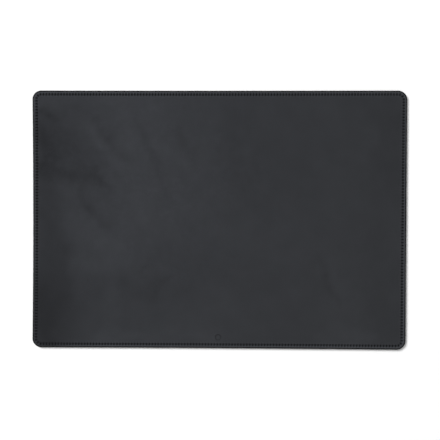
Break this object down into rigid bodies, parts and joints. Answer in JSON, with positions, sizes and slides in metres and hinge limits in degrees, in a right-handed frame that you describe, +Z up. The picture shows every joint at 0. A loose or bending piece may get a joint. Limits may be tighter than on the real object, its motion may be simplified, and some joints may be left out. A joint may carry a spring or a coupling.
{
  "type": "desk mat",
  "caption": "Stitched leather desk mat: a flat rounded rectangle of bonded leather, board and suede with a sewn border and a painted edge.",
  "frame": {"origin": "centre of the underside, on the face that lies on the desk", "axes": "+X along the 580 mm side, +Y away from the person who sits at the mat, +Z up out of the leather face"},
  "size_m": [0.58, 0.4, 0.0039],
  "materials": {
    "grain_leather": "satin",
    "backing_suede": "matte",
    "leather_board": "matte",
    "bond_film": "satin",
    "sewing_thread": "satin",
    "edge_paint": "satin"
  },
  "bodies": {
    "root": {"top_leather": "grain_leather", "upper_bond_film": "bond_film", "stiffener_board": "leather_board", "lower_bond_film": "bond_film", "suede_backing": "backing_suede", "needle_thread": "sewing_thread", "bobbin_thread": "sewing_thread", "edge_coating": "edge_paint"}
  },
  "joints": []
}
